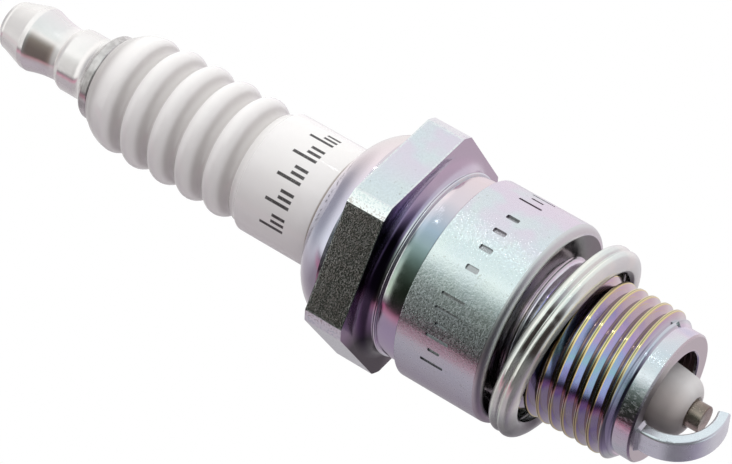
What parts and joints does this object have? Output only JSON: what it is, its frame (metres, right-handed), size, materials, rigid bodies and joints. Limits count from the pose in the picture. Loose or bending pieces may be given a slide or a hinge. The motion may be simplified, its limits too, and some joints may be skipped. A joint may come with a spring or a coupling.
{
  "type": "spark plug",
  "caption": "Spark plug: ribbed ceramic insulator in a crimped hexagon shell with a threaded end, loose folded gasket, knob terminal and bent ground electrode.",
  "frame": {"origin": "on the plug axis in the plane of the gasket seat", "axes": "+Z along the plug axis towards the terminal, a corner of the hexagon along +X"},
  "size_m": [0.0232, 0.0208, 0.0775],
  "materials": {
    "polished_nickel": "polished",
    "plated_steel": "turned",
    "white_glaze": "gloss",
    "seal_glass": "fused",
    "electrode_nickel": "turned",
    "core_copper": "drawn",
    "zinc_plate": "satin plated",
    "washer_steel": "plain",
    "ring_steel": "plain",
    "talc": "matt",
    "bright_sheet": "bright",
    "strap_nickel": "satin"
  },
  "bodies": {
    "plug": {"shell": "zinc_plate", "insulator": "white_glaze", "terminal_stud": "plated_steel", "glass_seal": "seal_glass", "centre_electrode": "electrode_nickel", "electrode_core": "core_copper", "seat_washer": "washer_steel", "lower_packing_ring": "ring_steel", "talc_filling": "talc", "upper_packing_ring": "ring_steel", "ground_electrode": "strap_nickel"},
    "terminal_nut": {"terminal_nut": "polished_nickel"},
    "gasket": {"gasket": "bright_sheet"}
  },
  "joints": [
    {"name": "terminal_nut_lift", "type": "slide", "parent": "plug", "child": "terminal_nut", "axis": [0, 0, 1], "range_m": [0, 0.01]},
    {"name": "gasket_tilt", "type": "hinge", "parent": "plug", "child": "gasket", "pos_m": [-0.00835, 0.00132, -0.00067], "axis": [-0.1564, -0.9877, 0], "range_deg": [0, 7]}
  ]
}
